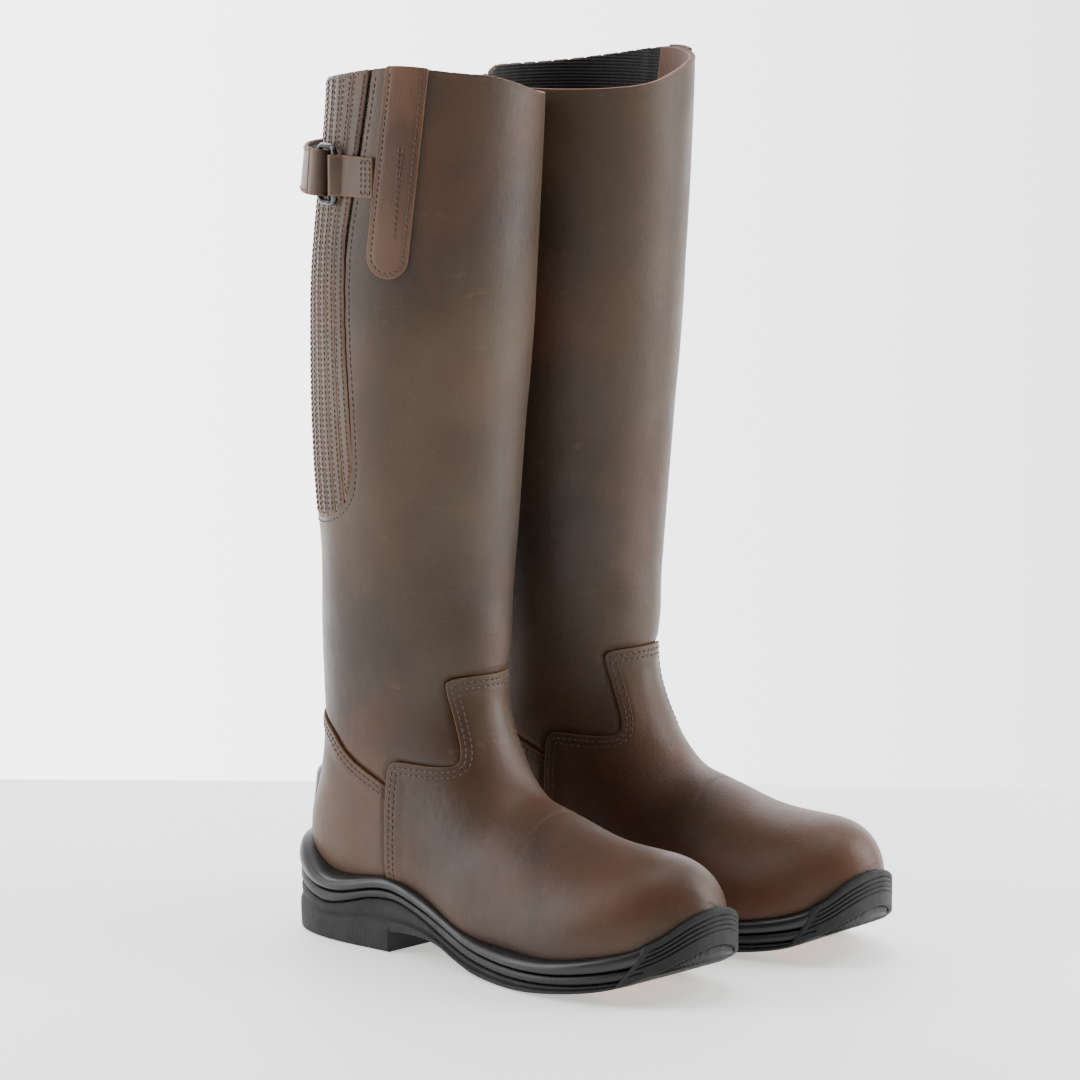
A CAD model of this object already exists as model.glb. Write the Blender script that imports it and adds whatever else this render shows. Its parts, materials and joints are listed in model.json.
import json
import math

import bpy
import bmesh
import numpy as np
from mathutils import Matrix, Vector, noise
from mathutils.bvhtree import BVHTree
from mathutils.kdtree import KDTree


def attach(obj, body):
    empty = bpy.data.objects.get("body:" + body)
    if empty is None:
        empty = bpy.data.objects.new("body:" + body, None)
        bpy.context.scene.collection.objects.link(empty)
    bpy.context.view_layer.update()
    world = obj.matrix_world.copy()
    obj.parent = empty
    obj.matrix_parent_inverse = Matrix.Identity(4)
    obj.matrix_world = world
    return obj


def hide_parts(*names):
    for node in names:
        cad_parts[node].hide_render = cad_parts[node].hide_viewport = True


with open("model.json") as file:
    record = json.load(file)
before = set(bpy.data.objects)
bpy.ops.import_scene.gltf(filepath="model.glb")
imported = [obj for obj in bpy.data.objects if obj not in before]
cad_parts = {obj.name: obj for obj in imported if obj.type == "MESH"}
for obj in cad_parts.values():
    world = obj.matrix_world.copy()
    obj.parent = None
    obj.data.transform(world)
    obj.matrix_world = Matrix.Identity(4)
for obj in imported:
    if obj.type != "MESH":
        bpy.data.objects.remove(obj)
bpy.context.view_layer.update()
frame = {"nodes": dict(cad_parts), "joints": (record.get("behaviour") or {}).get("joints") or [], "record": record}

# ------------------------------------------------------------------------- where each boot stands
# A boot's own axes are found from its heel mount, which lies 60 mm forward of the heel's edge.
MM = 0.001
LEFT_TURN = math.radians(4.5)
mounts = {m["name"]: Vector(m["pos_m"]) for m in frame["record"]["mounts"]}
PLACE = {
    "right": Matrix.Translation(mounts["right_heel_rest"]) @ Matrix.Translation((0, 60 * MM, 0)),
    "left": Matrix.Translation(mounts["left_heel_rest"])
    @ Matrix.Rotation(LEFT_TURN, 4, "Z")
    @ Matrix.Translation((0, 60 * MM, 0))
    @ Matrix.Scale(-1, 4, (1, 0, 0)),
}


def pair(name, shape, body, nodes, material):
    """Makes the right boot's piece and its mirror image. shape is points, faces and layers of numbers."""
    points, faces = np.asarray(shape[0], float), shape[1]
    layers = shape[2] if len(shape) > 2 else {}
    made = []
    for side in ("right", "left"):
        turn = np.array(PLACE[side])
        placed = points @ turn[:3, :3].T + turn[:3, 3]
        mesh = bpy.data.meshes.new(f"{side}_{name}_shape")
        order = faces if side == "right" else [face[::-1] for face in faces]
        mesh.from_pydata(placed.tolist(), [], order)
        for layer, values in layers.items():
            mesh.attributes.new(layer, "FLOAT", "POINT").data.foreach_set(
                "value", np.asarray(values, np.float32)
            )
        mesh.polygons.foreach_set("use_smooth", [True] * len(mesh.polygons))
        mesh.materials.append(material)
        obj = bpy.data.objects.new(f"{side}_{name}_piece", mesh)
        bpy.context.scene.collection.objects.link(obj)
        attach(obj, f"{side}_{body}")
        if nodes:
            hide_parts(*[f"{side}_{node}" for node in nodes])
        made.append(obj)
    return made


def right_shape(*names):
    """Points and faces of the right boot's CAD nodes, in its own axes."""
    back = np.array(PLACE["right"].inverted())
    points, faces = [], []
    for name in names:
        mesh = frame["nodes"]["right_" + name].data
        co = np.zeros(len(mesh.vertices) * 3)
        mesh.vertices.foreach_get("co", co)
        faces += [[v + len(points) for v in p.vertices] for p in mesh.polygons]
        points += (co.reshape(-1, 3) @ back[:3, :3].T + back[:3, 3]).tolist()
    return points, faces


def right_tree(*names):
    points, faces = right_shape(*names)
    return BVHTree.FromPolygons(points, faces)


# ------------------------------------------------------------------------- the leather skin
# The upper's outer skin, measured off the CAD upper on a grid of about 1 mm: level rows down the
# shaft, rows that turn about a line in front of the ankle, then upright rows out to the toe. All
# the leather panels, the lining and the elastic are cut from this grid.
COLUMNS = 360
PIVOT = (178 * MM, 196 * MM)
LEVEL_CENTRES = [(0.196, 0.0735), (0.28, 0.0755), (0.36, 0.0798), (0.41, 0.0845), (0.48, 0.090)]
TURN_CENTRES = [(0, 104.5), (14, 108), (26, 115), (35, 124), (41, 130), (47, 133), (56, 136),
                (66, 139), (78, 146), (90, 152)]
rows = []
for z in np.linspace(0.476, 0.196, 262, endpoint=False):
    centre = np.interp(z, *zip(*LEVEL_CENTRES))
    rows.append(((centre, z), (1.0, 0.0), 0.15))
for turn in np.linspace(0, 90, 250, endpoint=False):
    reach = np.interp(turn, *zip(*TURN_CENTRES)) * MM
    c, s = math.cos(math.radians(turn)), math.sin(math.radians(turn))
    rows.append(((PIVOT[0] - reach * c, PIVOT[1] - reach * s), (c, s), reach * 0.97))
for share in np.linspace(0, 1, 110):
    forward = PIVOT[0] + (279.2 * MM - PIVOT[0]) * math.sin(share * math.pi / 2)
    height = np.interp(forward, [0.178, 0.242, 0.279], [0.044, 0.041, 0.043])
    rows.append(((forward, height), (0.0, 1.0), 0.15))
TIP = [0.92, 0.8, 0.62, 0.4, 0.2, 0.04]
for share in TIP:
    rows.append(((0.2792 + 0.0014 * (1 - share * share), 0.043), (0.0, 1.0), 0.15))
ROWS = len(rows)
turns = np.radians(np.arange(COLUMNS) * 360.0 / COLUMNS)
cad_skin = right_tree("vamp", "counter", "shaft", "gusset_strips")
centres = np.array([[0.0, -c[0], c[1]] for c, _, _ in rows])
fronts = np.array([[0.0, -d[0], d[1]] for _, d, _ in rows])
sides = np.array([-1.0, 0.0, 0.0])
aims = fronts[:, None, :] * np.cos(turns)[None, :, None] + sides * np.sin(turns)[None, :, None]
radius = np.full((ROWS, COLUMNS), np.nan)
for i in range(ROWS):
    centre, limit = Vector(centres[i]), rows[i][2]
    for j in range(COLUMNS):
        aim = Vector(aims[i, j])
        facing = math.cos(turns[j])
        reach = min(0.15, limit / facing) if facing > 0.01 else 0.15
        spot = cad_skin.ray_cast(centre + aim * reach, -aim, reach)[0]
        if spot is not None:
            radius[i, j] = (spot - centre).length


def fill_gaps():
    for i in range(ROWS):
        known = ~np.isnan(radius[i])
        if known.sum() > COLUMNS * 0.8:
            radius[i] = np.interp(turns, turns[known], radius[i][known], period=2 * math.pi)


fill_gaps()
for j in range(COLUMNS):
    known = np.flatnonzero(~np.isnan(radius[:60, j]))
    first = known[0]
    slope = (radius[first + 14, j] - radius[first + 4, j]) / 10.0
    for i in range(first + 3, -1, -1):
        radius[i, j] = radius[first + 4, j] - slope * (first + 4 - i)
fill_gaps()
for n, share in enumerate(TIP):
    radius[ROWS - len(TIP) + n] = radius[ROWS - len(TIP) - 1] * share


def soften(values, spread):
    """Gaussian smoothing over the grid, which closes on itself across the columns."""
    reach = int(3 * spread) + 1
    weights = np.exp(-0.5 * (np.arange(-reach, reach + 1) / spread) ** 2)
    weights /= weights.sum()
    wide = np.pad(values, ((0, 0), (reach, reach)), mode="wrap")
    across = sum(w * wide[:, k : k + values.shape[1]] for k, w in enumerate(weights))
    tall = np.pad(across, ((reach, reach), (0, 0)), mode="edge")
    return sum(w * tall[k : k + values.shape[0]] for k, w in enumerate(weights))


radius = soften(radius, 2.0)
skin = centres[:, None, :] + aims * radius[:, :, None]
across = np.roll(skin, -1, 1) - np.roll(skin, 1, 1)
along = np.gradient(skin, axis=0)
normal = np.cross(across, along)
normal /= np.linalg.norm(normal, axis=2, keepdims=True)
if (normal * aims).sum() < 0:
    normal = -normal
FORWARD, INWARD, UP = -skin[:, :, 1], skin[:, :, 0], skin[:, :, 2]


def smooth_step(value, low, high):
    share = np.clip((value - low) / (high - low), 0, 1)
    return share * share * (3 - 2 * share)


def rounded(line):
    """A line of points with its corners cut off, three times over."""
    for _ in range(3):
        eased = [line[0]]
        for a, b in zip(line, line[1:]):
            eased.append(tuple(x * 0.75 + y * 0.25 for x, y in zip(a, b)))
            eased.append(tuple(x * 0.25 + y * 0.75 for x, y in zip(a, b)))
        line = eased + [line[-1]]
    return line


def inside(x, y, outline):
    """Distance in from the edge of a closed outline; negative outside it."""
    corners = np.array(outline, float)
    best = np.full(x.shape, 1e9)
    within = np.zeros(x.shape, bool)
    for a, b in zip(corners, np.roll(corners, -1, 0)):
        d = b - a
        if abs(d).sum() < 1e-12:
            continue
        t = np.clip(((x - a[0]) * d[0] + (y - a[1]) * d[1]) / (d @ d), 0, 1)
        best = np.minimum(best, (x - a[0] - t * d[0]) ** 2 + (y - a[1] - t * d[1]) ** 2)
        if a[1] != b[1]:
            crossing = (a[1] > y) != (b[1] > y)
            within ^= crossing & (x < a[0] + d[0] * (y - a[1]) / d[1])
    return np.where(within, 1, -1) * np.sqrt(best)


def contour(field, level=0.0, where=None):
    """Lines on the grid along which field equals level, as chains of (row, column) positions."""
    value = field - level
    ahead = np.roll(value, -1, 1)
    four = np.stack([value[:-1], ahead[:-1], ahead[1:], value[1:]])
    mixed = (four > 0).any(0) & (four <= 0).any(0)
    if where is not None:
        mixed &= where[:-1]
    links, spots = {}, {}
    for i, j in zip(*np.nonzero(mixed)):
        k = (j + 1) % COLUMNS
        corners = [(i, j), (i, k), (i + 1, k), (i + 1, j)]
        true = [(i, j), (i, j + 1), (i + 1, j + 1), (i + 1, j)]
        found = []
        for n in range(4):
            a, b = corners[n], corners[(n + 1) % 4]
            va, vb = value[a], value[b]
            if (va > 0) != (vb > 0):
                key = (min(a, b), max(a, b))
                t = va / (va - vb)
                ta, tb = true[n], true[(n + 1) % 4]
                spots[key] = (ta[0] + (tb[0] - ta[0]) * t, (ta[1] + (tb[1] - ta[1]) * t) % COLUMNS)
                found.append(key)
        for a, b in zip(found[::2], found[1::2]):
            links.setdefault(a, []).append(b)
            links.setdefault(b, []).append(a)
    chains, used = [], set()
    ends = [k for k, v in links.items() if len(v) == 1] + list(links)
    for start in ends:
        if start in used:
            continue
        chain, here = [start], start
        used.add(start)
        while True:
            ahead_keys = [k for k in links[here] if k not in used]
            if not ahead_keys:
                break
            here = ahead_keys[0]
            used.add(here)
            chain.append(here)
        if len(links[start]) == 2 and start in links[here] and len(chain) > 2:
            chain.append(start)
        chains.append([spots[k] for k in chain])
    return chains


def on_grid(values, spots):
    """Values of a grid layer at fractional (row, column) positions."""
    spots = np.asarray(spots)
    i = np.clip(np.floor(spots[:, 0]).astype(int), 0, ROWS - 2)
    j = np.floor(spots[:, 1]).astype(int) % COLUMNS
    k = (j + 1) % COLUMNS
    u, v = spots[:, 0] - i, spots[:, 1] - np.floor(spots[:, 1])
    if values.ndim == 3:
        u, v = u[:, None], v[:, None]
    top = values[i, j] * (1 - v) + values[i, k] * v
    low = values[i + 1, j] * (1 - v) + values[i + 1, k] * v
    return top * (1 - u) + low * u


def surface_distance(field, reach=14 * MM):
    """Turns a field into distance over the leather from the line where it is nought."""
    points = []
    for chain in contour(field):
        spots = on_grid(skin, chain)
        for a, b in zip(spots, spots[1:]):
            points += [a, (a + b) / 2]
    tree = KDTree(len(points))
    for n, p in enumerate(points):
        tree.insert(p, n)
    tree.balance()
    result = np.where(field > 0, 1.0, -1.0) * np.maximum(abs(field), reach)
    for i, j in zip(*np.nonzero(abs(field) < reach)):
        result[i, j] = math.copysign(min(tree.find(skin[i, j])[2], reach), field[i, j])
    return result


def cut(field, out, *layers):
    """The part of the grid where field is over nought, lifted along the normals by out."""
    lifted = (skin + normal * out[:, :, None]).reshape(-1, 3)
    value = field.reshape(-1)
    names = ["field"] + [name for name, _ in layers]
    data = np.stack([value] + [np.asarray(v).reshape(-1) for _, v in layers], 1)
    index = np.arange(ROWS * COLUMNS).reshape(ROWS, COLUMNS)
    quads = np.stack([index[:-1], np.roll(index, -1, 1)[:-1], np.roll(index, -1, 1)[1:], index[1:]], 2)
    quads = quads.reshape(-1, 4)
    inside_count = (value[quads] > 0).sum(1)
    faces = quads[inside_count == 4].tolist()
    extra, extra_data, known = [], [], {}
    base = ROWS * COLUMNS
    for quad in quads[(inside_count > 0) & (inside_count < 4)].tolist():
        face = []
        for n in range(4):
            a, b = quad[n], quad[(n + 1) % 4]
            if value[a] > 0:
                face.append(a)
            if (value[a] > 0) != (value[b] > 0):
                key = (min(a, b), max(a, b))
                if key not in known:
                    t = value[a] / (value[a] - value[b])
                    known[key] = base + len(extra)
                    extra.append(lifted[a] * (1 - t) + lifted[b] * t)
                    extra_data.append(data[a] * (1 - t) + data[b] * t)
                face.append(known[key])
        if len(face) > 2:
            faces.append(face)
    points = np.concatenate([lifted, np.array(extra).reshape(-1, 3)])
    data = np.concatenate([data, np.array(extra_data).reshape(-1, data.shape[1])])
    used = np.unique(np.fromiter((v for face in faces for v in face), int))
    renumber = np.full(len(points), -1)
    renumber[used] = np.arange(len(used))
    faces = [[int(renumber[v]) for v in face] for face in faces]
    return points[used], faces, {n: data[used, k] for k, n in enumerate(names)}


def shell(shape, thickness, roll=0.5 * MM):
    """Gives a cut panel its rounded edge, its thickness and its inner face."""
    bm = bmesh.new()
    layers = {name: bm.verts.layers.float.new(name) for name in shape[2]}
    wear = bm.verts.layers.float.new("rim")
    verts = [bm.verts.new(p) for p in shape[0]]
    for name, layer in layers.items():
        for v, x in zip(verts, shape[2][name]):
            v[layer] = x
    for face in shape[1]:
        try:
            bm.faces.new([verts[v] for v in face])
        except ValueError:
            pass
    bmesh.ops.remove_doubles(bm, verts=bm.verts, dist=0.22 * MM)
    bmesh.ops.dissolve_degenerate(bm, dist=0.02 * MM, edges=bm.edges)
    loose = [v for v in bm.verts if not v.link_faces]
    bmesh.ops.delete(bm, geom=loose, context="VERTS")
    bm.normal_update()
    top = list(bm.verts)
    normals = {v: v.normal.copy() for v in top}
    edges = [e for e in bm.edges if e.is_boundary]
    outward = {}
    for e in edges:
        face = e.link_faces[0]
        a, b = e.verts
        way = (b.co - a.co).cross(face.normal)
        middle = (a.co + b.co) / 2 - face.calc_center_median()
        if way.dot(middle) < 0:
            way = -way
        for v in (a, b):
            outward[v] = outward.get(v, Vector()) + way
    profile = [(0.55, 0.10), (0.85, 0.35), (1.0, 0.75), (1.0, None)]
    before = {v: v for v in outward}
    old_pairs = [(e.verts[0], e.verts[1], e.link_faces[0]) for e in edges]
    flips = []      # the boundary's edges, each the way round that its face runs
    for a, b, face in old_pairs:
        loop = [l for l in face.loops if {l.vert, l.link_loop_next.vert} == {a, b}][0]
        flips.append((loop.vert, loop.link_loop_next.vert))
    for share, drop in profile:
        ring = {}
        for v in outward:
            away = outward[v].normalized()
            down = thickness - 0.15 * MM if drop is None else roll * drop
            ring[v] = bm.verts.new(v.co + away * roll * share - normals[v] * down)
            for layer in layers.values():
                ring[v][layer] = v[layer]
            ring[v][wear] = 1.0
        for a, b in flips:
            try:
                bm.faces.new([before[b], before[a], ring[a], ring[b]])
            except ValueError:
                pass
        before = ring
    under = {}
    for v in top:
        under[v] = bm.verts.new(v.co - normals[v] * thickness)
        for layer in layers.values():
            under[v][layer] = v[layer]
    for face in [f for f in bm.faces if all(v in under for v in f.verts)]:
        bm.faces.new([under[v] for v in reversed(face.verts)])
    for a, b in flips:
        try:
            bm.faces.new([before[b], before[a], under[a], under[b]])
        except ValueError:
            pass
    bm.verts.index_update()
    points = np.array([v.co for v in bm.verts])
    faces = [[v.index for v in f.verts] for f in bm.faces]
    values = {name: [v[layer] for v in bm.verts] for name, layer in layers.items()}
    values["rim"] = [v[wear] for v in bm.verts]
    bm.free()
    return points, faces, values


# ------------------------------------------------------------------------- seams of the upper
# Lines that the leather is cut along: the vamp's stepped rear edge, the counter's top, the top
# line of the boot and the outline of the elastic panel. Each becomes a distance over the leather.
VAMP_EDGE = [(152, 152), (135, 150.5), (119, 148.5), (116.5, 145.5), (121, 128), (128.5, 109),
             (127.5, 103.5), (115, 102.2), (97, 102.8), (88, 102.4), (86.4, 87), (86.4, 60),
             (83, 35), (82, -10)]
COUNTER_TOP = [(-20, 125), (20, 121.5), (44, 113.5), (54, 105), (65, 98), (77, 92.8), (92, 86)]
RIM_SIDE = [(-10, 456), (0, 456), (35, 457), (65, 461.5), (95, 466.5), (112, 468), (130, 466), (160, 461)]
RIM_FRONT = [(-80, 470), (-48, 468), (-20, 464.5), (0, 459), (18, 453), (45, 450.5), (80, 450)]
GUSSET_ANGLE = math.radians(139)
AXIS = 80 * MM


def mm(line):
    return [(x * MM, z * MM) for x, z in line]


def seen_from(angle, points):
    """Position across the view of the shaft from an angle, forward positive, and toward the view."""
    x, y = points[..., 0], points[..., 1] + AXIS
    c, s = math.cos(angle), math.sin(angle)
    return x * c - y * s, -x * s - y * c


vamp = inside(FORWARD, UP, mm(rounded(VAMP_EDGE) + [(400, -10), (400, 152)]))
vamp = surface_distance(vamp)
counter_line = mm(rounded(COUNTER_TOP))
counter = inside(FORWARD, UP, counter_line + [(0.4, 0.086), (0.4, -0.05), (-0.02, -0.05)])
counter = surface_distance(counter)
rim_height = np.minimum(
    np.interp(FORWARD, *zip(*mm(rounded(RIM_SIDE)))), np.interp(INWARD, *zip(*mm(rounded(RIM_FRONT))))
)
rim = surface_distance(rim_height - UP)
GUSSET_SIDE = [(0, 228), (17, 229.5), (32, 237), (38, 256), (38, 368), (41, 396), (50, 488)]
gusset_outline = rounded([(-x, z) for x, z in reversed(GUSSET_SIDE[1:])] + GUSSET_SIDE)
gusset_across, gusset_toward = seen_from(GUSSET_ANGLE, skin)
gusset = inside(gusset_across, UP, mm(gusset_outline))
gusset = surface_distance(np.where(gusset_toward > 0, gusset, -0.1))

# ------------------------------------------------------------------------- oiled leather
# Pull-up leather: brown, waxed, with greyish bloom, redder where it is worn, a fine grain, and
# raw orange-brown cut edges. The colour varies slowly over each boot.


class Nodes:
    """A material's node tree, written as short calls."""

    def __init__(self, name, roughness=0.5, metallic=0.0):
        self.material = bpy.data.materials.new(name)
        self.material.use_nodes = True
        self.tree = self.material.node_tree
        self.shader = self.tree.nodes["Principled BSDF"]
        self.shader.inputs["Roughness"].default_value = roughness
        self.shader.inputs["Metallic"].default_value = metallic
        self.spot = self.add("ShaderNodeTexCoord").outputs["Object"]

    def add(self, kind, values=(), **settings):
        node = self.tree.nodes.new(kind)
        for key, value in settings.items():
            setattr(node, key, value)
        for key, value in dict(values).items():
            if isinstance(value, bpy.types.NodeSocket):
                self.tree.links.new(value, node.inputs[key])
            else:
                node.inputs[key].default_value = value
        return node

    def stretched(self, scale):
        node = self.add("ShaderNodeMapping", {"Vector": self.spot})
        node.inputs["Scale"].default_value = scale
        return node.outputs["Vector"]

    def noise(self, scale, detail=4.0, roughness=0.55, vector=None):
        values = {"Vector": vector or self.spot, "Scale": scale, "Detail": detail, "Roughness": roughness}
        return self.add("ShaderNodeTexNoise", values).outputs["Fac"]

    def cells(self, scale, output="Distance", vector=None, feature="F1"):
        values = {"Vector": vector or self.spot, "Scale": scale}
        return self.add("ShaderNodeTexVoronoi", values, feature=feature).outputs[output]

    def ramp(self, value, stops):
        node = self.add("ShaderNodeValToRGB", {"Fac": value})
        ramp = node.color_ramp
        for n, (place, colour) in enumerate(stops):
            point = ramp.elements[n] if n < 2 else ramp.elements.new(place)
            point.position = place
            point.color = (*colour, 1) if hasattr(colour, "__len__") else (colour, colour, colour, 1)
        return node.outputs["Color"]

    def spread(self, value, low, high, to_low=0.0, to_high=1.0):
        values = {"Value": value, "From Min": low, "From Max": high, "To Min": to_low, "To Max": to_high}
        return self.add("ShaderNodeMapRange", values).outputs["Result"]

    def mix(self, share, a, b, blend="MIX"):
        node = self.add("ShaderNodeMix", data_type="RGBA", blend_type=blend)
        for key, value in ((0, share), (6, a), (7, b)):
            if isinstance(value, bpy.types.NodeSocket):
                self.tree.links.new(value, node.inputs[key])
            else:
                node.inputs[key].default_value = value if key == 0 else (*value, 1)
        return node.outputs[2]

    def maths(self, operation, a, b=0.0):
        return self.add("ShaderNodeMath", {0: a, 1: b}, operation=operation).outputs["Value"]

    def layer(self, name):
        return self.add("ShaderNodeAttribute", attribute_name=name).outputs["Fac"]

    def set(self, **sockets):
        for key, value in sockets.items():
            socket = self.shader.inputs[key.replace("_", " ")]
            if isinstance(value, bpy.types.NodeSocket):
                self.tree.links.new(value, socket)
            else:
                socket.default_value = (*value, 1) if hasattr(value, "__len__") else value
        return self

    def bump(self, *heights):
        """Height layers, each a value and a size in metres, added up."""
        normal = None
        for value, distance in heights:
            values = {"Height": value, "Distance": distance, "Strength": 1.0}
            if normal is not None:
                values["Normal"] = normal
            normal = self.add("ShaderNodeBump", values).outputs["Normal"]
        self.tree.links.new(normal, self.shader.inputs["Normal"])
        return self


def leather_material(name, dark, mid, light, red, edge, roughness=0.46, patches=7.0):
    m = Nodes(name)
    cloud = m.noise(patches, 3.0, 0.5)
    base = m.ramp(m.spread(cloud, 0.3, 0.7), [(0.0, dark), (0.5, mid), (1.0, light)])
    warm = m.spread(m.noise(patches * 1.9, 3.0, 0.55, m.stretched((1.0, 1.3, 0.8))), 0.50, 0.68)
    base = m.mix(m.maths("MULTIPLY", warm, 0.55), base, red)
    height = m.add("ShaderNodeSeparateXYZ", {"Vector": m.spot}).outputs["Z"]
    foot = m.spread(height, 0.06, 0.17, 1.0, 0.0)
    base = m.mix(foot, base, (1.02, 0.80, 0.62), "MULTIPLY")
    instep = m.noise(13, 3.0, 0.6, m.stretched((1.2, 0.8, 1.0)))
    worn = m.maths("MULTIPLY", m.spread(instep, 0.48, 0.66), foot)
    base = m.mix(m.maths("MULTIPLY", worn, 0.6), base, red)
    speck = m.spread(m.noise(900, 3.0, 0.7), 0.3, 0.75)
    base = m.mix(m.maths("MULTIPLY", speck, 0.22), base, tuple(x * 0.45 for x in mid))
    scuff = m.spread(m.noise(34, 6.0, 0.75, m.stretched((1, 1, 2.4))), 0.62, 0.74)
    base = m.mix(m.maths("MULTIPLY", scuff, 0.28), base, tuple(min(1, x * 1.7) for x in light))
    raw = m.layer("rim")
    base = m.mix(m.spread(raw, 0.25, 1.0, 0.0, 0.6), base, edge)
    rough = m.spread(m.noise(22, 5.0, 0.6), 0.3, 0.7, roughness - 0.07, roughness + 0.10)
    m.set(Base_Color=base, Roughness=m.maths("ADD", rough, m.maths("MULTIPLY", raw, 0.25)))
    m.set(Specular_IOR_Level=0.36, Sheen_Weight=0.03, Sheen_Roughness=0.45)
    m.shader.inputs["Sheen Tint"].default_value = (0.72, 0.66, 0.60, 1)
    grain = m.cells(1500)
    pores = m.noise(2600, 2.0, 0.6)
    folds = m.noise(150, 4.0, 0.6, m.stretched((1, 1, 0.45)))
    m.bump((folds, 0.00022), (grain, 0.00006), (pores, 0.00005))
    return m.material


DARK, MID, LIGHT = (0.025, 0.0135, 0.0072), (0.050, 0.028, 0.0145), (0.082, 0.053, 0.031)
RED, RAW = (0.088, 0.030, 0.014), (0.20, 0.085, 0.036)
leather = leather_material("oiled_leather", DARK, MID, LIGHT, RED, RAW)


def stitch_material(name, colour):
    m = Nodes(name, 0.75)
    twist = m.noise(5200, 2.0, 0.5)
    m.set(Base_Color=m.mix(m.spread(twist, 0.3, 0.7), tuple(x * 0.5 for x in colour), colour))
    m.set(Sheen_Weight=0.3)
    m.bump((twist, 0.0001))
    return m.material


thread = stitch_material("thread", (0.085, 0.040, 0.026))


def even_points(points, pitch):
    """Points a set pitch apart along a line, and the way it runs at each."""
    points = np.asarray(points, float)
    step = np.linalg.norm(np.diff(points, axis=0), axis=1)
    along = np.concatenate([[0], np.cumsum(step)])
    count = int(along[-1] / pitch)
    if count < 1:
        return np.zeros((0, 3)), np.zeros((0, 3))
    at = (np.arange(count) + 0.5) * along[-1] / count
    spots = np.stack([np.interp(at, along, points[:, k]) for k in range(3)], 1)
    ahead = np.stack([np.interp(at + pitch * 0.3, along, points[:, k]) for k in range(3)], 1)
    behind = np.stack([np.interp(at - pitch * 0.3, along, points[:, k]) for k in range(3)], 1)
    ways = ahead - behind
    return spots, ways / np.maximum(np.linalg.norm(ways, axis=1, keepdims=True), 1e-9)


def stitch_rows(lines, pitch=3.4 * MM, length=2.5 * MM, wire=0.36 * MM, rise=0.12 * MM):
    """Short rounded threads, one after another along each line of (points, outward directions)."""
    points, faces = [], []
    stations = [(-1.0, 0.25, -0.9), (-0.75, 0.85, 0.0), (0.0, 1.0, 0.35), (0.75, 0.85, 0.0),
                (1.0, 0.25, -0.9)]
    sides_round = 6
    for line, outs in lines:
        spots, ways = even_points(line, pitch)
        line = np.asarray(line, float)
        for spot, way in zip(spots, ways):
            nearest = np.argmin(((line - spot) ** 2).sum(1))
            up = Vector(outs[nearest]).normalized()
            run = Vector(way)
            run = (run - up * run.dot(up)).normalized()
            side = run.cross(up)
            base = len(points)
            for place, wide, high in stations:
                middle = Vector(spot) + run * (place * length / 2) + up * (rise + high * wire)
                for n in range(sides_round):
                    a = 2 * math.pi * n / sides_round
                    points.append(middle + (side * math.cos(a) + up * math.sin(a)) * wire * wide)
            for s in range(len(stations) - 1):
                for n in range(sides_round):
                    a, b = base + s * sides_round + n, base + s * sides_round + (n + 1) % sides_round
                    faces.append([a, a + sides_round, b + sides_round, b])
            last = base + (len(stations) - 1) * sides_round
            faces.append([base + n for n in range(sides_round)])
            faces.append([last + n for n in reversed(range(sides_round))])
    return points, faces


def seam_lines(field, levels, lift, where=None):
    """Lines for stitching that keep their distance from an edge, on the lifted leather."""
    found = []
    for level in levels:
        for chain in contour(field, level, where):
            if len(chain) < 6:
                continue
            spots, outs = on_grid(skin, chain), on_grid(normal, chain)
            found.append((spots + outs * on_grid(lift, chain)[:, None], outs))
    return found


def valley(distance, *levels, deep=0.22 * MM, wide=1.1 * MM):
    """The groove that a row of stitches pulls into the leather."""
    return sum(-deep * np.exp(-(((distance - level) / wide) ** 2)) for level in levels)


# slow unevenness of soft leather, more of it about the ankle
uneven = np.zeros((ROWS, COLUMNS))
for i in range(0, ROWS):
    for j in range(COLUMNS):
        p = Vector(skin[i, j])
        uneven[i, j] = noise.noise(p * 14) * 0.7 + noise.noise(p * 38) * 0.22
ankle = np.exp(-(((UP - 0.200) / 0.05) ** 2)) * smooth_step(UP, 0.09, 0.14)
uneven = uneven * MM * (0.55 + 0.8 * ankle)

EDGE_ROWS = (2.3 * MM, 5.3 * MM)    # the two rows of stitches, in from a panel's edge
SOLE_LINE = 0.010                   # the panels end at this height, deep inside the sole
LEATHER = 1.8 * MM
under = 6 * MM                      # how far one panel runs on below the next
vamp_lift = uneven + 0.95 * MM * (1 - smooth_step(vamp, 2 * MM, 14 * MM)) + valley(vamp, *EDGE_ROWS)
vamp_shape = cut(np.where(UP > SOLE_LINE, vamp, -1), vamp_lift, ("seam", vamp))
pair("vamp", shell(vamp_shape, LEATHER), "boot", ["vamp", "toe_puff"], leather)

counter_part = np.minimum(counter, under - vamp)
counter_lift = uneven + 0.85 * MM * (1 - smooth_step(counter, 2 * MM, 14 * MM))
counter_lift += valley(counter, *EDGE_ROWS)
counter_lift -= 1.7 * MM * smooth_step(vamp, -5 * MM, 1 * MM)
counter_shape = cut(np.where(UP > SOLE_LINE, counter_part, -1), counter_lift, ("seam", counter))
pair("counter", shell(counter_shape, LEATHER), "boot", ["counter", "heel_stiffener"],
     leather)

shaft_part = np.minimum(np.minimum(rim, -gusset), np.minimum(under - vamp, under - counter))
shaft_lift = uneven + valley(-gusset, 2.2 * MM) + valley(rim, 3.0 * MM, deep=0.1 * MM)
shaft_lift -= 1.6 * MM * smooth_step(np.maximum(vamp, counter), -5 * MM, 2 * MM)
shaft_shape = cut(shaft_part, shaft_lift, ("seam", np.minimum(rim, -gusset)))
pair("shaft", shell(shaft_shape, LEATHER), "boot", ["shaft"], leather)

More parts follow.
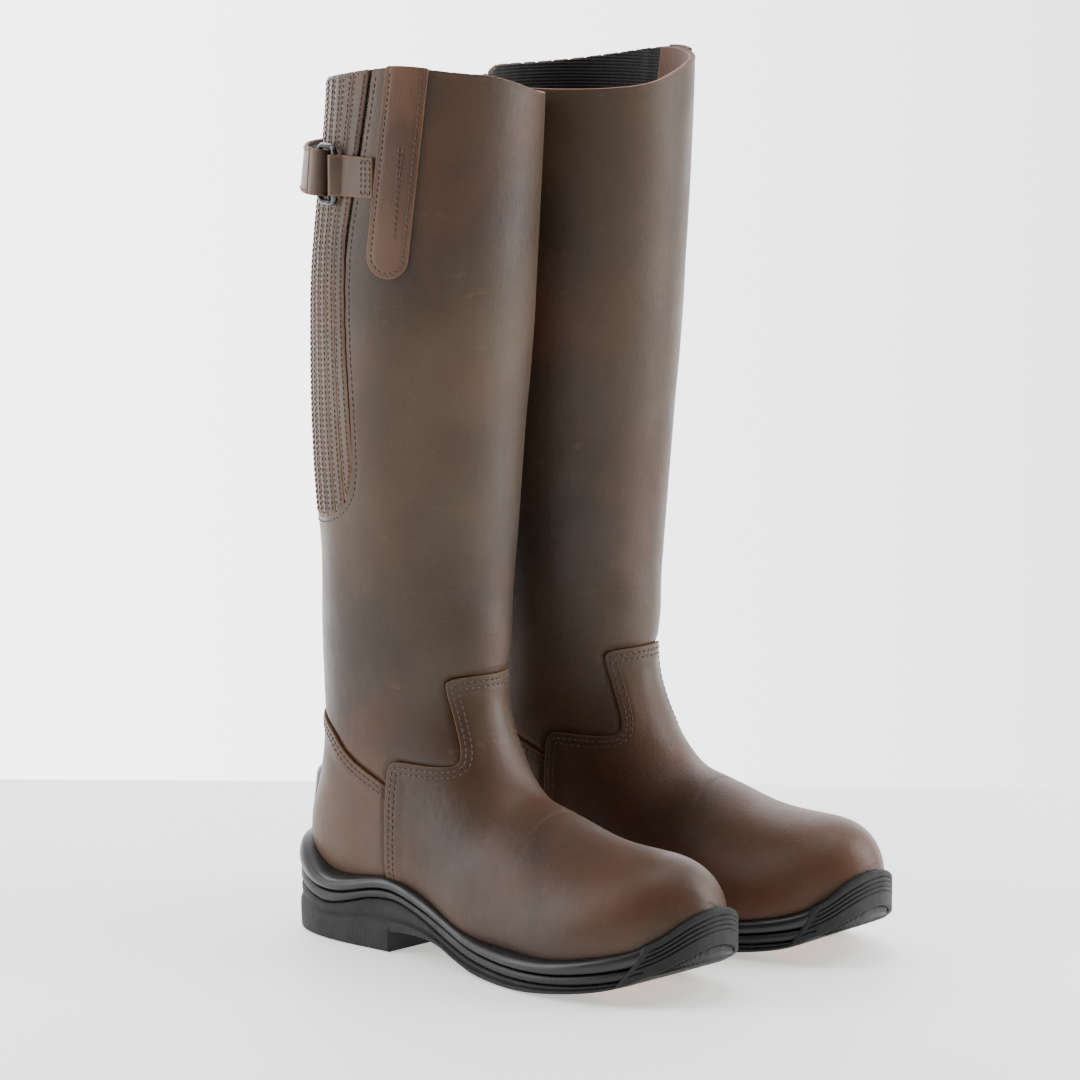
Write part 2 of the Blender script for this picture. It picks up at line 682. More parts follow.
seams = seam_lines(vamp, EDGE_ROWS, vamp_lift, UP > 0.035)
seams += seam_lines(counter, EDGE_ROWS, counter_lift, vamp < -2 * MM)
seams += seam_lines(-gusset, (2.4 * MM,), shaft_lift, rim > 3 * MM)
pair("upper_stitching", stitch_rows(seams), "boot", [], thread)

# ------------------------------------------------------------------------- lining and elastic
# Rust-brown suede glued inside the leather, and a wide black ribbed elastic sewn in at the outer
# back. Both stop at the top line and run down inside the foot.
suede = Nodes("suede_lining", 0.95)
nap = suede.noise(420, 5.0, 0.7)
patch = suede.spread(suede.noise(16, 4.0), 0.3, 0.7)
tone = suede.mix(patch, (0.125, 0.044, 0.021), (0.185, 0.070, 0.034))
suede.set(Base_Color=suede.mix(suede.spread(nap, 0.3, 0.7, 0.0, 0.55), tone, (0.075, 0.028, 0.016)))
suede.set(Sheen_Weight=0.45, Sheen_Roughness=0.6, Specular_IOR_Level=0.15)
suede.bump((nap, 0.0005), (suede.noise(1800, 3.0), 0.0003))

elastic = Nodes("ribbed_elastic", 0.85)
wave = {"Vector": elastic.spot, "Scale": 175.0, "Distortion": 0.25, "Detail": 1.0}
rib = elastic.add("ShaderNodeTexWave", wave, bands_direction="Z").outputs["Fac"]
yarn = elastic.noise(2400, 2.0, 0.6, elastic.stretched((1, 1, 0.4)))
elastic.set(Base_Color=elastic.mix(rib, (0.004, 0.004, 0.004), (0.022, 0.021, 0.021)), Sheen_Weight=0.2)
elastic.bump((rib, 0.0006), (yarn, 0.0003))

depth = np.full((ROWS, COLUMNS), -1.95 * MM)
deep_enough = UP > 0.022
lining_part = np.where(deep_enough, np.minimum(rim - 0.4 * MM, -(gusset + 6.5 * MM)), -1)
pair("lining", shell(cut(lining_part, depth), 1.3 * MM), "boot", ["boot_lining"],
     suede.material)
elastic_part = np.minimum(rim - 0.2 * MM, gusset + 6.9 * MM)
elastic_shape = cut(elastic_part, depth + 0.05 * MM)
pair("elastic", shell(elastic_shape, 1.2 * MM), "boot", ["gusset_elastic"], elastic.material)

# ------------------------------------------------------------------------- strips over the elastic
# Eleven narrow strips of the same leather, sewn side by side onto the elastic, each with a line of
# stitching just inside its edge. They fan out toward the top.
STRIPS = 11
# seen straight on, the strips are equal shares of an arc, which narrows those at the sides
SPREAD = math.radians(42)
DRUM = 58 * MM
strip_points, strip_faces, strip_layers, strip_seams = [], [], {"rim": [], "field": []}, []
width = np.interp(UP, [0, 0.378, 0.488], [0.037, 0.037, 0.048])
for k in range(STRIPS):
    first = math.sin(SPREAD * (2 * k / STRIPS - 1)) / math.sin(SPREAD) * width
    last = math.sin(SPREAD * (2 * (k + 1) / STRIPS - 1)) / math.sin(SPREAD) * width
    flat_share = np.sqrt(np.clip(1 - (gusset_across / DRUM) ** 2, 0.2, 1))
    strip = np.minimum(gusset_across - first, last - gusset_across) / flat_share - 0.4 * MM
    strip = np.minimum(np.minimum(strip, gusset - 0.6 * MM), rim + 0.3 * MM)
    strip = np.where(gusset_toward > 0, strip, -1)
    lift = uneven - 0.35 * MM + 0.55 * MM * smooth_step(strip, -0.5 * MM, 2.2 * MM)
    points, faces, layers = shell(cut(strip, lift), 1.5 * MM, roll=0.4 * MM)
    strip_faces += [[v + len(strip_points) for v in face] for face in faces]
    strip_points += points.tolist()
    for name in strip_layers:
        strip_layers[name] += list(layers[name])
    strip_seams += seam_lines(strip, (1.5 * MM,), lift)
strip_leather = leather_material("strip_leather", (0.045, 0.027, 0.018), (0.085, 0.055, 0.038),
                                 (0.135, 0.100, 0.072), (0.110, 0.048, 0.024), RAW, 0.5, 11.0)
strips = (strip_points, strip_faces, strip_layers)
pair("strips", strips, "boot", ["gusset_strips"], strip_leather)
strip_threads = stitch_rows(strip_seams, pitch=2.9 * MM, length=2.0 * MM, wire=0.28 * MM)
pair("strip_stitching", strip_threads, "boot", [], thread)

# ------------------------------------------------------------------------- side tab
# A long tongue of thinner, redder leather sewn down the outer side from the top line, round at its
# lower end, with a row of stitches just inside its edge and a narrow stitched V down its middle.
tab_material = leather_material("tab_leather", (0.045, 0.020, 0.011), (0.080, 0.037, 0.020),
                                (0.110, 0.058, 0.034), (0.130, 0.048, 0.019), (0.20, 0.11, 0.06), 0.44, 9.0)
tab_across, tab_toward = seen_from(math.radians(58), skin)
TAB_END, TAB_ROUND = (-7, 371), 11      # middle and radius of its round lower end
round_end = []
for a in np.radians(range(180, 361, 12)):
    round_end.append((TAB_END[0] + TAB_ROUND * math.cos(a), TAB_END[1] + TAB_ROUND * math.sin(a)))
tab_outline = mm(round_end + [(18, 490), (-4, 490)])
tab = inside(tab_across, UP, tab_outline)
tab = surface_distance(np.where(tab_toward > 0, tab, -0.1))
tab_part = np.minimum(tab, rim + 0.9 * MM)
tab_lift = uneven + 1.75 * MM + valley(tab, 2.2 * MM, deep=0.3 * MM)
tab_lift -= 0.25 * MM * (1 - smooth_step(tab, 0, 3 * MM))
tab_shape = shell(cut(tab_part, tab_lift), 1.7 * MM, roll=0.45 * MM)
pair("side_tab", tab_shape, "boot", ["side_tab"], tab_material)
skin_faces = []
for i in range(ROWS - 1):
    for j in range(COLUMNS):
        k = (j + 1) % COLUMNS
        here, below = i * COLUMNS, (i + 1) * COLUMNS
        skin_faces.append((here + j, here + k, below + k, below + j))
uneven_skin = (skin + normal * uneven[:, :, None]).reshape(-1, 3)
skin_tree = BVHTree.FromPolygons(uneven_skin.tolist(), skin_faces)


def on_leg(angle, z, outset=0.0):
    """A point on the shaft at an angle from the toe by the outer side, and its outward direction."""
    aim = Vector((-math.sin(angle), -math.cos(angle), 0))
    spot, out, _, _ = skin_tree.ray_cast(Vector((0, -AXIS, z)) + aim * 0.15, -aim, 0.15)
    if out.dot(aim) < 0:
        out = -out
    return spot + out * outset, out


tab_seams = seam_lines(tab, (2.3 * MM,), tab_lift, rim > 1.5 * MM)
for start in (55.5, 57.5):
    line, outs = [], []
    for share in np.linspace(0, 1, 30):
        angle = math.radians(start + (61.0 - start) * share)
        spot, out = on_leg(angle, 0.428 - 0.048 * share, 1.8 * MM)
        line.append(spot)
        outs.append(out)
    tab_seams.append((line, outs))
pair("tab_stitching", stitch_rows(tab_seams, pitch=3.1 * MM, length=2.3 * MM), "boot", [], thread)

# ------------------------------------------------------------------------- ring and its loop
# A D-ring of dark plated wire. Its straight bar turns in a short loop of leather that is folded
# round it and sewn to the shaft beside the tab.
BAR = PLACE["right"].inverted() @ Vector(
    next(j["pos_m"] for j in frame["joints"] if j["name"] == "right_ring_swing")
)
STRAP_Z = BAR.z
WIRE = 1.5 * MM              # half the wire's thickness
ring_points = np.array(right_shape("d_ring")[0])
away = ring_points[:, :2] - np.array(BAR[:2])
farthest = away[np.argmax((away**2).sum(1))]
REACH = float(np.linalg.norm(farthest)) - WIRE
TO_ARC = Vector((*(farthest / np.linalg.norm(farthest)), 0))
RING_HALF = (ring_points[:, 2].max() - ring_points[:, 2].min()) / 2 - WIRE
metal = Nodes("ring_metal", 0.3, 1.0)
tarnish = metal.noise(260, 4.0)
metal.set(Base_Color=metal.mix(metal.spread(tarnish, 0.3, 0.7), (0.045, 0.045, 0.05), (0.13, 0.13, 0.14)))
metal.set(Roughness=metal.spread(tarnish, 0.3, 0.7, 0.22, 0.42))
metal.bump((metal.noise(1400, 3.0), 0.00003))


def tube(path, wire, around=16):
    """A round wire along a closed path that lies in one upright plane."""
    count = len(path)
    points, faces = [], []
    for n, spot in enumerate(path):
        run = (path[(n + 1) % count] - path[n - 1]).normalized()
        side = TO_ARC.cross(Vector((0, 0, 1))).normalized()
        up = run.cross(side).normalized()
        for a in range(around):
            turn = 2 * math.pi * a / around
            points.append(spot + (side * math.cos(turn) + up * math.sin(turn)) * wire)
    for n in range(count):
        for a in range(around):
            b, m = (a + 1) % around, (n + 1) % count
            faces.append([n * around + a, n * around + b, m * around + b, m * around + a])
    return points, faces


ring_path = []
ring_corners = [(0, -RING_HALF, 3.0, 180), (REACH, -RING_HALF, 4.2, 270),
                (REACH, RING_HALF, 4.2, 0), (0, RING_HALF, 3.0, 90)]
for x, z, corner, start in ring_corners:
    inward = Vector((1 if x == 0 else -1, 1 if z < 0 else -1))
    middle = Vector((x, z)) + inward * corner * MM
    for step in range(9):
        turn = math.radians(start + 90 * step / 8)
        spot = middle + Vector((math.cos(turn), math.sin(turn))) * corner * MM
        ring_path.append(BAR + TO_ARC * spot.x + Vector((0, 0, spot.y)))
pair("d_ring", tube(ring_path, WIRE), "ring", ["d_ring"], metal.material)


def slab(base, outs, thickness):
    """A strip of leather or cloth: a grid of base points, thickened along its outward directions."""
    rows_count, columns_count = len(base), len(base[0])
    count = rows_count * columns_count
    points = [p for row in base for p in row]
    points += [p + o * thickness for row, way in zip(base, outs) for p, o in zip(row, way)]
    faces = []
    for i in range(rows_count - 1):
        for j in range(columns_count - 1):
            a = i * columns_count + j
            quad = [a, a + 1, a + columns_count + 1, a + columns_count]
            faces += [quad, [v + count for v in reversed(quad)]]
    last_row, last_column = rows_count - 1, columns_count - 1
    ring = [(0, j) for j in range(columns_count)]
    ring += [(i, last_column) for i in range(1, rows_count)]
    ring += [(last_row, j) for j in range(last_column - 1, -1, -1)]
    ring += [(i, 0) for i in range(last_row - 1, 0, -1)]
    ring = [i * columns_count + j for i, j in ring]
    for a, b in zip(ring, ring[1:] + ring[:1]):
        faces.append([b, a, a + count, b + count])
    edge = [0.0] * (2 * count)
    for v in ring:
        edge[v] = edge[v + count] = 0.8
    return points, faces, {"rim": edge}


def soft_edges(pieces, size_mm=0.5):
    for obj in pieces:
        bm = bmesh.new()
        bm.from_mesh(obj.data)
        bmesh.ops.recalc_face_normals(bm, faces=bm.faces)
        bm.to_mesh(obj.data)
        bm.free()
        bevel = obj.modifiers.new("soft_edges", "BEVEL")
        bevel.width, bevel.segments, bevel.limit_method = size_mm * MM, 3, "ANGLE"
        bevel.angle_limit = math.radians(50)
        bevel.harden_normals = False


bar_angle = math.atan2(-BAR.x, -(BAR.y + AXIS))
levels = np.linspace(-10.5 * MM, 10.5 * MM, 9)
base, outs = [], []
for angle in np.linspace(math.radians(73.5), bar_angle - math.radians(4.5), 22):
    spots = [on_leg(angle, STRAP_Z + z, 0.1 * MM) for z in levels]
    base.append([s for s, _ in spots])
    outs.append([o for _, o in spots])
_, bar_out = on_leg(bar_angle, STRAP_Z)
bar_out = Vector((bar_out.x, bar_out.y, 0)).normalized()
bar_side = Vector((-bar_out.y, bar_out.x, 0))
if bar_side.dot(TO_ARC) < 0:
    bar_side = -bar_side
for turn in np.radians(np.arange(110, -181, -15)):
    way = bar_out * math.sin(turn) + bar_side * math.cos(turn)
    base.append([BAR + way * 1.7 * MM + Vector((0, 0, z)) for z in levels])
    outs.append([way] * len(levels))
chape = pair("ring_loop", slab(base, outs, 1.7 * MM), "boot", ["ring_chape"], strip_leather)
soft_edges(chape)
lines = []
for angle in (75.2, 78.2, 81.0):
    across = np.linspace(-9 * MM, 9 * MM, 14)
    spots = [on_leg(math.radians(angle), STRAP_Z + z, 1.85 * MM) for z in across]
    lines.append(([s for s, _ in spots], [o for _, o in spots]))
for z in (-8.6 * MM, 8.6 * MM):
    spots = [on_leg(math.radians(a), STRAP_Z + z, 1.85 * MM) for a in np.linspace(75, 82, 12)]
    lines.append(([s for s, _ in spots], [o for _, o in spots]))
loop_threads = stitch_rows(lines, pitch=2.6 * MM, length=1.9 * MM, wire=0.32 * MM)
pair("loop_stitching", loop_threads, "boot", [], thread)

# ------------------------------------------------------------------------- strap, tail and pads
# A leather strap sewn to the shaft's inner back. It lies over the strips, turns through the ring
# and folds back on itself; black hook and loop pads hold the tail down. The tail can be peeled up.
STRAP = 2.0 * MM
arc_point = BAR + TO_ARC * REACH
arc_angle = math.atan2(-arc_point.x, -(arc_point.y + AXIS))
spot, out = on_leg(arc_angle, STRAP_Z)
arc_outset = (arc_point - spot).dot(out)
flap_outset = arc_outset + arc_outset - STRAP      # the folded-back part lies this far out
levels = np.linspace(-12 * MM, 12 * MM, 11)
base, outs = [], []
for angle in np.linspace(math.radians(214), arc_angle, 90):
    spots = [on_leg(angle, STRAP_Z + z, 0.08 * MM) for z in levels]
    base.append([s for s, _ in spots])
    outs.append([o for _, o in spots])
ends = [on_leg(arc_angle, STRAP_Z + z) for z in levels]
for turn in np.radians(np.arange(10, 181, 10)):
    row, way = [], []
    for spot, out in ends:
        front = Vector((out.y, -out.x, 0)).normalized()
        if front.dot(TO_ARC) > 0:
            front = -front
        middle = spot + out * arc_outset
        toward = -out * math.cos(turn) + front * math.sin(turn)
        row.append(middle + toward * arc_outset)
        way.append(-toward)
    base.append(row)
    outs.append(way)
fold_end, fold_outs = base[-1], outs[-1]
for step in (1.3 * MM, 2.6 * MM, 3.9 * MM):
    row = []
    for p, o in zip(fold_end, fold_outs):
        run_on = Vector((o.y, -o.x, 0))
        side = 1 if run_on.dot(TO_ARC) < 0 else -1
        row.append(p - run_on.normalized() * step * side)
    base.append(row)
    outs.append(fold_outs)
strap = pair("strap", slab(base, outs, STRAP), "boot", ["strap"], strip_leather)
soft_edges(strap)

tail_start = arc_angle + math.asin(min(1.0, 4.35 * MM / (56 * MM)))


def wrapped(start, end, low, high, outset, thickness, count=40):
    base, outs = [], []
    for angle in np.linspace(start, end, count):
        spots = [on_leg(angle, STRAP_Z + z, outset) for z in np.linspace(low, high, 11)]
        base.append([s for s, _ in spots])
        outs.append([o for _, o in spots])
    return slab(base, outs, thickness)


TAIL_END = math.radians(178)
tail_leather = leather_material("tail_leather", (0.070, 0.042, 0.030), (0.120, 0.080, 0.058),
                                (0.160, 0.115, 0.085), (0.160, 0.080, 0.045), RAW, 0.5, 10.0)
tail_shape = wrapped(tail_start, TAIL_END, -12 * MM, 12 * MM, flap_outset, STRAP, 60)
tail = pair("strap_tail", tail_shape, "strap_tail", ["strap_tail"], tail_leather)
soft_edges(tail)
fuzz = Nodes("hook_and_loop", 0.9)
hooks = fuzz.cells(1400)
hook_tops = fuzz.spread(hooks, 0.1, 0.6)
fuzz.set(Base_Color=fuzz.mix(hook_tops, (0.020, 0.020, 0.021), (0.006, 0.006, 0.006)), Sheen_Weight=0.3)
fuzz.bump((hooks, 0.0006), (fuzz.noise(2600, 3.0), 0.0004))
pad = (flap_outset - STRAP - 0.35 * MM) / 2
PAD_START, PAD_HALF, LOOP_END = tail_start + 0.03, 10 * MM, math.radians(196)
hook_shape = wrapped(PAD_START, TAIL_END - 0.035, -PAD_HALF, PAD_HALF, flap_outset - pad, pad - 0.02 * MM)
loop_shape = wrapped(PAD_START, LOOP_END, -PAD_HALF, PAD_HALF, STRAP + 0.05 * MM, pad - 0.05 * MM)
hook = pair("hook_pad", hook_shape, "strap_tail", ["hook_pad"], fuzz.material)
loop = pair("loop_pad", loop_shape, "boot", ["loop_pad"], fuzz.material)
soft_edges(hook + loop, 0.4)
lines = []
for z in (-10.2 * MM, 10.2 * MM):
    turned = np.linspace(tail_start + 0.03, TAIL_END - 0.03, 60)
    spots = [on_leg(a, STRAP_Z + z, flap_outset + STRAP) for a in turned]
    lines.append(([s for s, _ in spots], [o for _, o in spots]))
tail_threads = stitch_rows(lines, pitch=3.2 * MM, length=2.3 * MM, wire=0.3 * MM)
pair("tail_stitching", tail_threads, "strap_tail", [], thread)

# ------------------------------------------------------------------------- spur rest
# A curved rubber ledge riveted to the back of the heel, flush at its lower end and proud at its top.
rest_profile = [(50, 0.5), (56, 1.3), (64, 2.6), (72, 4.2), (79, 5.8), (83, 6.4), (86, 5.2),
                (88, 2.6), (89.5, 0.8)]
base, outs = [], []
for z in np.linspace(50.5, 89.5, 30):
    row, way = [], []
    for m in np.linspace(-18, 18, 25):
        spot = skin_tree.ray_cast(Vector((m * MM, 0.08, z * MM)), Vector((0, -1, 0)))[0]
        taper = 1 - 0.75 * smooth_step(abs(m), 11, 18)
        rise = np.interp(z, *zip(*rest_profile)) * taper * MM
        row.append(spot + Vector((0, -0.6 * MM, 0)))
        way.append(Vector((0, rise + 0.6 * MM, 0)))
    base.append(row)
    outs.append(way)
rest = slab(base, outs, 1.0)

# ------------------------------------------------------------------------- rubber sole
# One moulded unit in look, in three tiers: a shiny rounded welt that rises at the heel and dips
# to the forefoot, a plain band under it, and the outsole with its heel block and its toe bumper.
WELT_TOP = [(-8, 53), (2, 48.5), (12, 43.5), (23, 37.5), (33, 33.8), (42, 32.6), (57, 34.5), (71, 38),
            (82, 39.8), (92, 38.6), (102, 36), (117, 31), (133, 24.9), (153, 19.2), (180, 17.4),
            (209, 17.9), (227, 20.5), (248, 25.1), (261, 29.4), (271, 35), (279, 44.5), (290, 56)]
WELT_BOTTOM = [(-8, 38), (10, 33.3), (22, 28.9), (36, 26.4), (51, 27.1), (65, 30.5), (76, 33),
               (87, 33.4), (96, 31.8), (106, 28.9), (121, 24.2), (137, 18.6), (153, 14), (180, 11.6),
               (209, 11.6), (230, 14), (250, 18), (265, 22.5), (290, 34)]
OUTSOLE_TOP = [(-8, 29), (14, 23.9), (35, 19.4), (46, 20.2), (60, 23.8), (72, 27.4), (87, 28.6),
               (96, 27.3), (106, 24.4), (121, 18.6), (137, 12.4), (155, 8.2), (180, 6.2), (205, 6.2),
               (230, 8.4), (250, 12.2), (270, 17.5), (290, 24)]
ARCH = [(86.5, 11), (96, 12), (110, 12.2), (120, 11.4), (129, 9.3), (137, 6.3), (148, 3.2),
        (159, 1.1), (191, 0), (214, 2.2), (237, 5.5), (252, 9.2), (261, 13.2), (272, 19.3),
        (278, 24.4), (286, 33)]
WELT_TOP, WELT_BOTTOM, OUTSOLE_TOP, ARCH = (
    np.array(mm(rounded(line))).T for line in (WELT_TOP, WELT_BOTTOM, OUTSOLE_TOP, ARCH)
)
BREAST = 86.5 * MM
wall_tree = right_tree("outsole", "midsole", "welt")


def height(line, forward):
    return float(np.interp(forward, line[0], line[1]))


def ground(forward):
    if forward < BREAST:
        return max(0.0, (4 * MM - forward) * 0.33)
    return height(ARCH, forward)


spine, wall = [], []
for a in np.radians(np.arange(0, 91, 2.0)):
    spine.append((Vector((0, -0.036, 0)), Vector((-math.sin(a), math.cos(a), 0))))
# the stations crowd together where the heel block stops
breast = [0.0864, 0.0866]
for f in np.concatenate([np.arange(0.038, 0.0862, 0.0016), breast, np.arange(0.088, 0.2301, 0.0016)]):
    spine.append((Vector((0, -f, 0)), Vector((-1, 0, 0))))
for a in np.radians(np.arange(0, 181, 1.6)):
    spine.append((Vector((0, -0.231, 0)), Vector((-math.cos(a), -math.sin(a), 0))))
back_again = [np.arange(0.2300, 0.0868, -0.0016), breast[::-1], np.arange(0.0862, 0.038, -0.0016)]
for f in np.concatenate(back_again):
    spine.append((Vector((0, -f, 0)), Vector((1, 0, 0))))
for a in np.radians(np.arange(90, -1, -2.0))[:-1]:
    spine.append((Vector((0, -0.036, 0)), Vector((math.sin(a), math.cos(a), 0))))
for middle, aim in spine:
    spot = None
    for z in (0.0295, 0.022, 0.015, 0.010, 0.026, 0.034):
        start = middle + aim * 0.12 + Vector((0, 0, z))
        spot = wall_tree.ray_cast(start, -aim, 0.12)[0]
        if spot is not None:
            reach = (spot - middle).xy.length
            if reach > 0.030:
                break
    wall.append((spot.x, spot.y))
wall = np.array(wall)
STATIONS = len(wall)
run = np.roll(wall, -2, 0) - np.roll(wall, 2, 0)
wall_out = np.stack([run[:, 1], -run[:, 0]], 1)
wall_out /= np.linalg.norm(wall_out, axis=1, keepdims=True)
centre_points = np.array([[m.x, m.y] for m, _ in spine])
if ((wall - centre_points) * wall_out).sum() < 0:
    wall_out = -wall_out
ledge = []
for (x, y), (nx, ny) in zip(wall, wall_out):
    z = height(WELT_TOP, -y) - 0.5 * MM
    edge, outward = Vector((x, y, z)), Vector((nx, ny, 0))
    start = Vector((x + nx * 0.004, y + ny * 0.004, z))
    spot = skin_tree.ray_cast(start, Vector((-nx, -ny, 0)), 0.022)[0]
    ledge.append(0.004 if spot is None else max(0.0, (edge - spot).dot(outward)))
ledge = np.array(ledge)
for _ in range(3):
    ledge = np.maximum(ledge, (np.roll(ledge, 1) + ledge + np.roll(ledge, -1)) / 3)


# the bands are let in behind the toe bumper by this much
TUCK = 1.3 * MM


def sweep_ring(profile):
    """Sweeps a changing cross-section, given as steps out from the wall and heights, round the sole."""
    points, faces = [], []
    rings = [profile(n) for n in range(STATIONS)]
    size_of_ring = len(rings[0])
    for n, ring in enumerate(rings):
        tuck = TUCK * float(smooth_step(-wall[n][1], 0.262, 0.268))
        for out, z in ring:
            x, y = wall[n] + wall_out[n] * (out - tuck)
            points.append((x, y, z))
    for n in range(STATIONS):
        m = (n + 1) % STATIONS
        here, ahead = n * size_of_ring, m * size_of_ring
        for k in range(size_of_ring):
            l = (k + 1) % size_of_ring
            faces.append([here + k, ahead + k, ahead + l, here + l])
    return points, faces


def welt_profile(n):
    f = -wall[n][1]
    low, high = height(WELT_BOTTOM, f) + 0.25 * MM, height(WELT_TOP, f)
    tall = high - low
    deep = -(ledge[n] + 1.6 * MM)
    shape = [(deep, low + 0.3 * MM), (-1.3 * MM, low), (-0.5 * MM, low + 0.15 * MM),
             (0.35 * MM, low + 0.10 * tall), (0.95 * MM, low + 0.28 * tall), (1.15 * MM, low + 0.5 * tall),
             (0.9 * MM, low + 0.72 * tall), (0.1 * MM, low + 0.90 * tall), (-0.8 * MM, high - 0.05 * MM),
             (-1.7 * MM, high + 0.1 * MM)]
    inner_lip = min(-2.4 * MM, -(ledge[n] - 0.6 * MM))
    climb = high + 0.55 * max(0.0, ledge[n] - 2.4 * MM)
    return shape + [(inner_lip, climb), (min(deep, inner_lip - 0.6 * MM), climb - 1.0 * MM)]


def midsole_profile(n):
    f = -wall[n][1]
    low, high = height(OUTSOLE_TOP, f) + 0.35 * MM, height(WELT_BOTTOM, f) - 0.45 * MM
    tall = high - low
    return [(-8 * MM, low), (-1.2 * MM, low), (-0.35 * MM, low + 0.12 * tall),
            (0.15 * MM, low + 0.32 * tall),
            (0.28 * MM, low + 0.55 * tall), (0.1 * MM, low + 0.8 * tall), (-0.5 * MM, high - 0.05 * tall),
            (-1.3 * MM, high), (-8 * MM, high)]


# share of the outsole's height at which its groove lies, along the foot
GROOVE_SHARE = [(0, 0.70), (60, 0.70), (86.4, 0.63), (86.6, 0.40), (120, 0.42), (150, 0.45),
                (180, 0.48), (290, 0.5)]


def outsole_profile(n):
    f = -wall[n][1]
    low, high = ground(f), height(OUTSOLE_TOP, f) - 0.35 * MM
    line = low + (high - low) * float(np.interp(f, *zip(*[(x * MM, s) for x, s in GROOVE_SHARE])))
    above, below = high - line, line - low
    shape = [(-8 * MM, high), (-1.3 * MM, high), (-0.5 * MM, high - 0.06 * above),
             (-0.05 * MM, high - 0.3 * above), (-0.35 * MM, line + 0.35 * above),
             (-1.15 * MM, line + 0.10 * above), (-1.25 * MM, line),
             (0, line - 0.07 * below), (0.5 * MM, line - 0.15 * below),
             (0.6 * MM, line - 0.35 * below),
             (0.4 * MM, line - 0.7 * below), (0.25 * MM, low + min(1.0 * MM, 0.2 * below)),
             (-0.1 * MM, low + 0.25 * MM), (-0.8 * MM, low)]
    return shape + [(share, None) for share in (0.10, 0.2, 0.35, 0.55, 0.8, 1.0)]


def outsole_shape():
    """The outsole's wall, and its underside drawn in from the wall to the middle line."""
    points, faces = [], []
    count = len(outsole_profile(0))
    for n in range(STATIONS):
        for out, z in outsole_profile(n):
            if z is None:
                x, y = wall[n] * (1 - out) + centre_points[n] * out
                z = ground(-y)
            else:
                tuck = TUCK * float(smooth_step(-wall[n][1], 0.258, 0.266))
                x, y = wall[n] + wall_out[n] * (out - tuck)
            points.append((x, y, z))
    for n in range(STATIONS):
        m = (n + 1) % STATIONS
        for k in range(count - 1):
            faces.append([n * count + k, m * count + k, m * count + k + 1, n * count + k + 1])
    return points, faces


def rubber(name, base, rough_low, rough_high, lines=0.0, spec=0.5):
    m = Nodes(name)
    mottle = m.noise(60, 4.0)
    dust = m.spread(m.noise(18, 6.0, 0.7), 0.45, 0.8, 0.0, 0.5)
    colour = m.mix(dust, base, tuple(min(1, x * 2.6 + 0.012) for x in base))
    rough = m.spread(mottle, 0.3, 0.7, rough_low, rough_high)
    m.set(Base_Color=colour, Roughness=rough, Specular_IOR_Level=spec)
    heights = [(m.noise(1500, 3.0), 0.00008)]
    if lines:
        wave = {"Vector": m.spot, "Scale": 330.0, "Distortion": 0.4, "Detail": 1.0, "Detail Scale": 2.0}
        fine_lines = m.add("ShaderNodeTexWave", wave, bands_direction="Y").outputs["Fac"]
        heights.append((fine_lines, lines))
    m.bump(*heights)
    return m.material


welt_rubber = rubber("welt_rubber", (0.007, 0.007, 0.0075), 0.28, 0.46, spec=0.42)
band_rubber = rubber("band_rubber", (0.008, 0.008, 0.0085), 0.40, 0.56, spec=0.36)
sole_rubber = rubber("sole_rubber", (0.020, 0.020, 0.0205), 0.60, 0.78, 0.00025, 0.28)
bumper_rubber = rubber("bumper_rubber", (0.013, 0.013, 0.0135), 0.55, 0.72, spec=0.26)
made = pair("welt", sweep_ring(welt_profile), "boot", ["welt"], welt_rubber)
made += pair("midsole", sweep_ring(midsole_profile), "boot", ["midsole"], band_rubber)
made += pair("outsole", outsole_shape(), "boot", ["outsole"], sole_rubber)
made += pair("spur_rest", rest, "boot", ["spur_rest"], band_rubber)

# ------------------------------------------------------------------------- toe bumper
# A matte rubber cap moulded over the front of the sole, with four grooves round it and a short
# hooked groove low down at each side.
BUMPER_REAR = [(4, 246), (9, 251), (17, 257), (24, 261), (30, 263.5), (45, 266)]


def wall_at(station):
    n = int(math.floor(station)) % STATIONS
    t = station - math.floor(station)
    m = (n + 1) % STATIONS
    spot = wall[n] * (1 - t) + wall[m] * t
    out = wall_out[n] * (1 - t) + wall_out[m] * t
    return spot, out / np.linalg.norm(out)


def bumper_span(level):
    """The stations, outer and inner, where the bumper's rear edge stands at a share of its height."""
    found = []
    for n in range(STATIONS):
        f = -wall[n][1]
        low, high = ground(f), height(WELT_TOP, f) + 0.6 * MM
        z = low + level * (high - low)
        found.append(f - np.interp(z, *zip(*mm(BUMPER_REAR))))
    rear = []
    for n, (a, b) in enumerate(zip(found, found[1:])):
        if a * b < 0:
            rear.append(n + a / (a - b))
    return rear[0], rear[-1]


